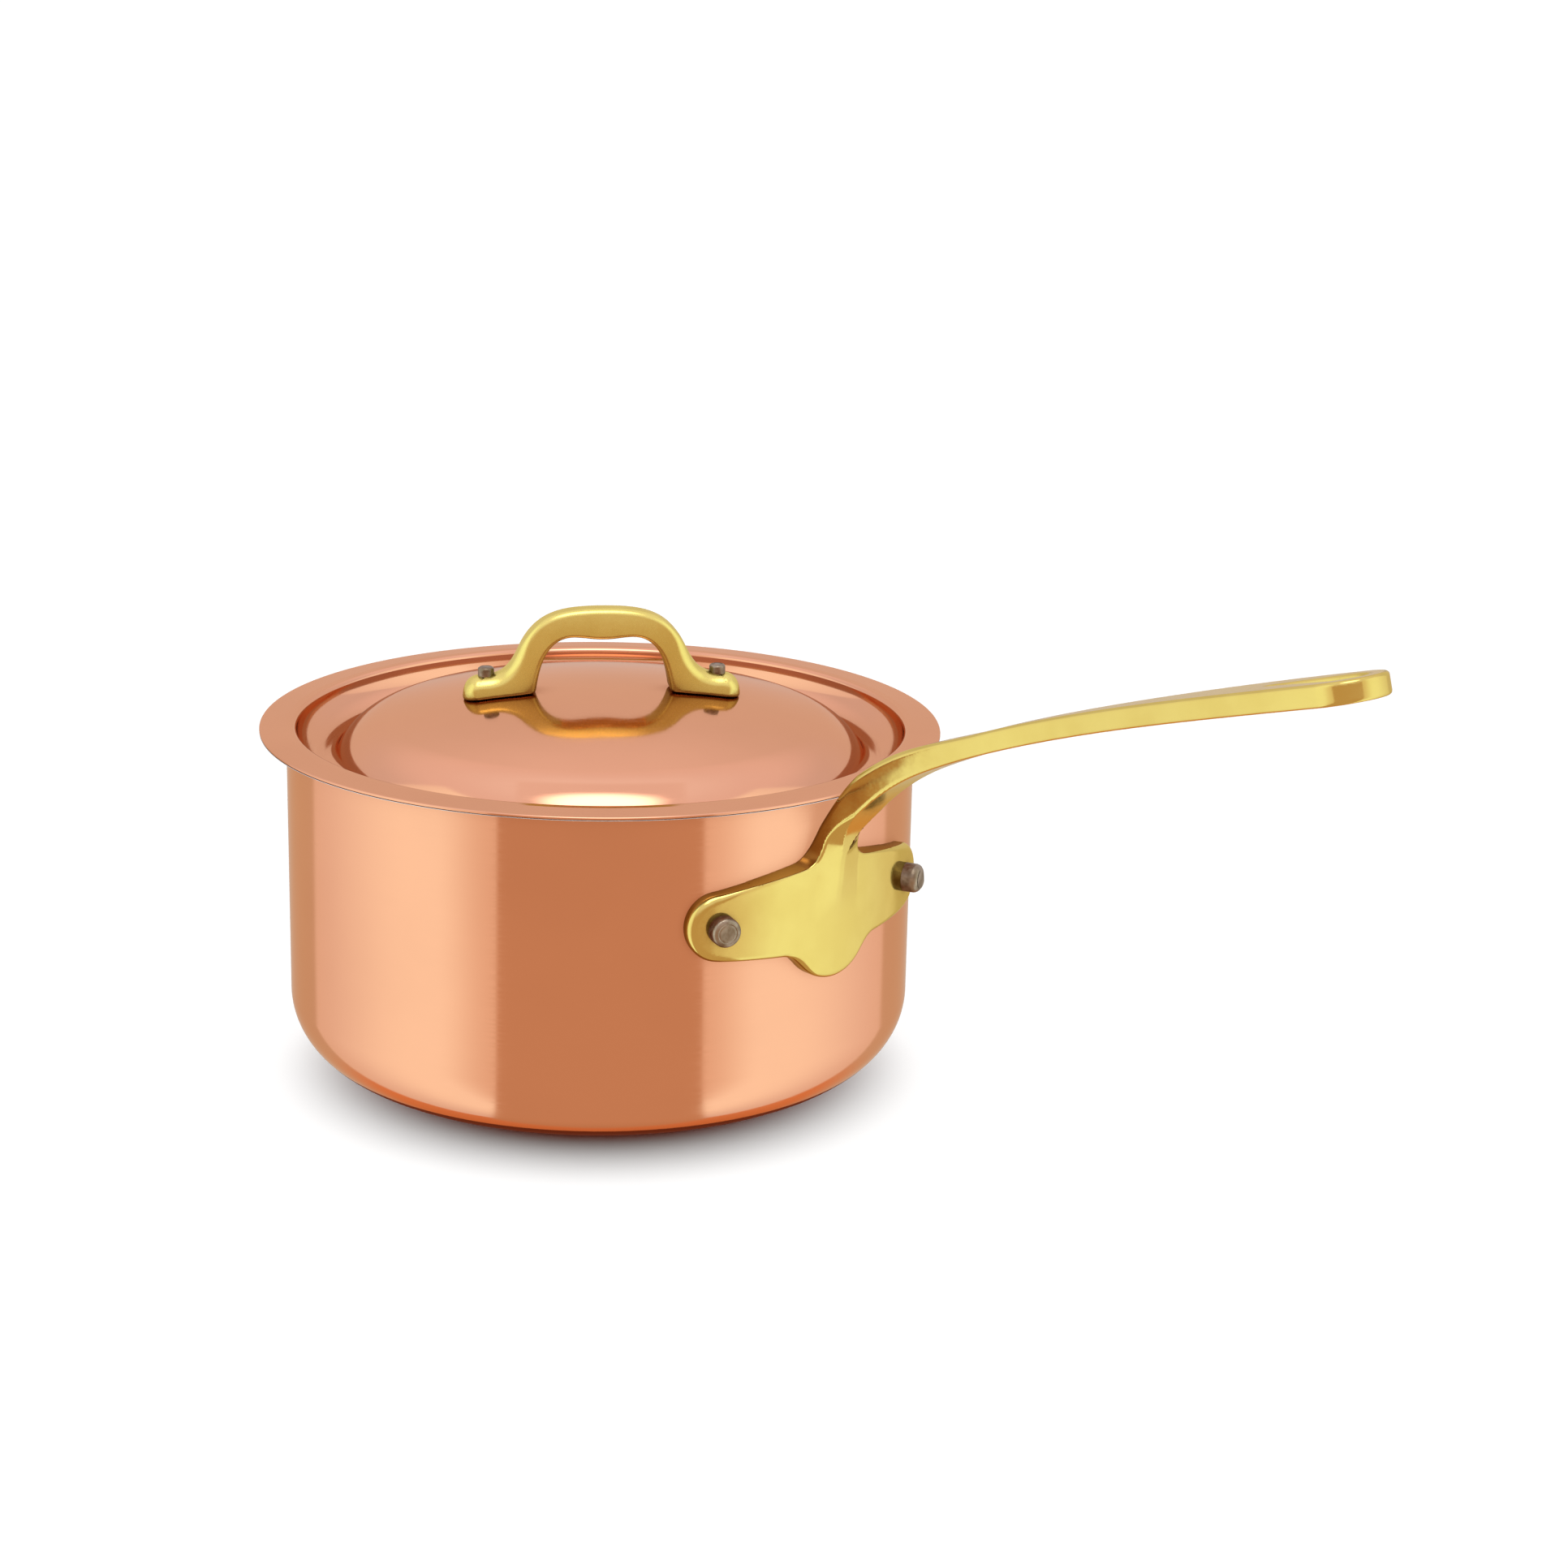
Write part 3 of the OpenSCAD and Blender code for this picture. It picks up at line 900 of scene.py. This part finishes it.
def world():
    """A studio all round: two tall soft panels, a darker gap in front of them, and a lamp overhead.

    The floor gets a plain grey fill from it, and the view behind the object is white.
    """
    data = bpy.data.worlds.new("studio")
    bpy.context.scene.world = data
    data.use_nodes = True
    n = Nodes(data.node_tree)
    way = n.add("ShaderNodeTexCoord").outputs["Generated"]
    parts = n.add("ShaderNodeSeparateXYZ", {0: way}).outputs
    facing = math.radians(CAMERA_AZIMUTH)
    ahead = n.math("SUBTRACT", n.math("MULTIPLY", parts[0], math.sin(facing)),
                   n.math("MULTIPLY", parts[1], math.cos(facing)))
    aside = n.math("ADD", n.math("MULTIPLY", parts[0], math.cos(facing)),
                   n.math("MULTIPLY", parts[1], math.sin(facing)))
    aside = n.math("ABSOLUTE", aside)
    azimuth = n.math("MULTIPLY", n.math("ARCTAN2", aside, ahead), 180 / math.pi)
    height = n.math("MULTIPLY", n.math("ARCSINE", parts[2]), 180 / math.pi)

    front = n.mix(n.ramp(height, 5, 35), FRONT_LOW, FRONT_HIGH)
    above = n.mix(n.ramp(height, PANEL_TOP, PANEL_TOP + 30), BACK_HIGH, BACK_TOP)
    back = n.mix(n.ramp(height, -16, 4), BACK_LOW, BACK_MIDDLE)
    back = n.mix(n.ramp(height, PANEL_TOP - 24, PANEL_TOP), back, above)
    back = n.mix(n.ramp(height, -50, -30), BACK_UNDER, back)
    panel = n.mix(n.ramp(azimuth, 38, 62), PANEL_NEAR, PANEL_MIDDLE)
    panel = n.mix(n.ramp(azimuth, 70, 128), panel, PANEL_FAR)
    panel = n.mix(n.ramp(height, PANEL_TOP - 2, PANEL_TOP + 2), panel, above)

    raised = n.math("MAXIMUM", n.math("ADD", height, 19), 0)
    rear_edge = n.math("SUBTRACT", PANEL_END, n.math("MULTIPLY", raised, 0.45))
    past_panel = n.ramp(n.math("SUBTRACT", azimuth, rear_edge), -2, 2)
    side = n.math("SUBTRACT", aside, n.math("MULTIPLY", ahead, 0.3))
    in_front = n.math("MULTIPLY", n.ramp(side, 0.34, 0.36, 1, 0), n.ramp(ahead, -0.35, -0.2))
    colour = n.mix(in_front, n.mix(past_panel, panel, back), front)

    lamp_height = math.radians(LAMP_HEIGHT)
    lamp_level = math.cos(lamp_height)
    lamp_way = (math.sin(facing) * lamp_level, -math.cos(facing) * lamp_level, math.sin(lamp_height))
    lamp = n.add("ShaderNodeVectorMath", {0: way, 1: lamp_way}, operation="DOT_PRODUCT")
    outer, inner = math.cos(math.radians(LAMP_SPREAD)), math.cos(math.radians(LAMP_CORE))
    colour = n.mix(n.ramp(lamp.outputs["Value"], outer, inner), colour, LAMP_COLOUR)

    path = n.add("ShaderNodeLightPath").outputs
    mirrored_twice = n.math("GREATER_THAN", path["Glossy Depth"], 1.5)
    colour = n.mix(n.math("MULTIPLY", mirrored_twice, 0.5), colour, (0, 0, 0, 1))
    on_floor = n.math("GREATER_THAN", path["Diffuse Depth"], 0.5)
    colour = n.mix(on_floor, colour, FLOOR_FILL)
    colour = n.mix(path["Is Camera Ray"], colour, (1, 1, 1, 1))
    shader = n.add("ShaderNodeBackground", {"Color": colour, "Strength": 1.0})
    n.add("ShaderNodeOutputWorld", {"Surface": shader.outputs[0]})


def floor_light():
    """A wide soft sun from above, and the hidden disc in the pan that alone shades it."""
    facing = Matrix.Rotation(math.radians(CAMERA_AZIMUTH), 4, "Z")
    shade = disc("floor_shade", radius=86, height=84)
    shade.matrix_world = facing @ Matrix.Translation((0, -14 * MM, 0))
    shade.visible_camera = False
    shade.visible_diffuse = False
    shade.visible_glossy = False
    shaders = bpy.data.collections.new("floor_shade")
    shaders.objects.link(shade)

    lean = math.radians(-3)
    data = bpy.data.lights.new("floor_light", "SUN")
    data.energy = 3.15
    data.angle = math.radians(28)
    light = bpy.data.objects.new("floor_light", data)
    bpy.context.scene.collection.objects.link(light)
    light.matrix_world = facing @ Matrix.Rotation(lean, 4, "X")
    light.visible_glossy = False
    light.light_linking.blocker_collection = shaders


def dress(piece, body, slot, material, *nodes):
    """Gives a piece its material and its body, and hides the CAD nodes it stands for. Its slot is not
    used.
    """
    piece.data.materials.append(material)
    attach(piece, body)
    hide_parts(*nodes)


camera()
world()
floor_light()
floor()
contact_shade()

copper = copper_material()
brass = brass_material("polished_brass", 0.1, (0.82, 0.655, 0.185, 1), (0.86, 0.705, 0.21, 1))
satin_brass = brass_material("satin_brass", 0.22, (0.9, 0.77, 0.22, 1), (0.96, 0.84, 0.26, 1))
steel = steel_material()
rivet_metal = rivet_material()

pan_copper, pan_steel = pan_pieces()
lid_copper, lid_steel = lid_pieces()
dress(pan_copper, "pan", "copper", copper, "pan_body")
dress(pan_steel, "pan", "steel_lining", steel, "pan_lining")
dress(lid_copper, "lid", "copper", copper, "lid_shell")
dress(lid_steel, "lid", "steel_lining", steel, "lid_lining")
handle = long_handle()
handle.visible_glossy = False  # the copper and the lid mirror the studio and not this handle
dress(handle, "pan", "cast_brass", brass, "handle")
dress(lid_grip(), "lid", "cast_brass", satin_brass, "lid_handle")
near_rivet = handle_rivet("handle_rivet_near", side=-1, end=111.1, edge=1.5, seed=3)
far_rivet = handle_rivet("handle_rivet_far", side=1, end=112.3, edge=2.3, seed=5)
dress(near_rivet, "pan", "rivet_metal", rivet_metal, "handle_rivet_left")
dress(far_rivet, "pan", "rivet_metal", rivet_metal, "handle_rivet_right")
dress(lid_rivet("lid_rivet_one", -1, 7), "lid", "rivet_metal", rivet_metal, "lid_rivet_left")
dress(lid_rivet("lid_rivet_two", 1, 11), "lid", "rivet_metal", rivet_metal, "lid_rivet_right")

bpy.context.scene.view_settings.view_transform = "Standard"
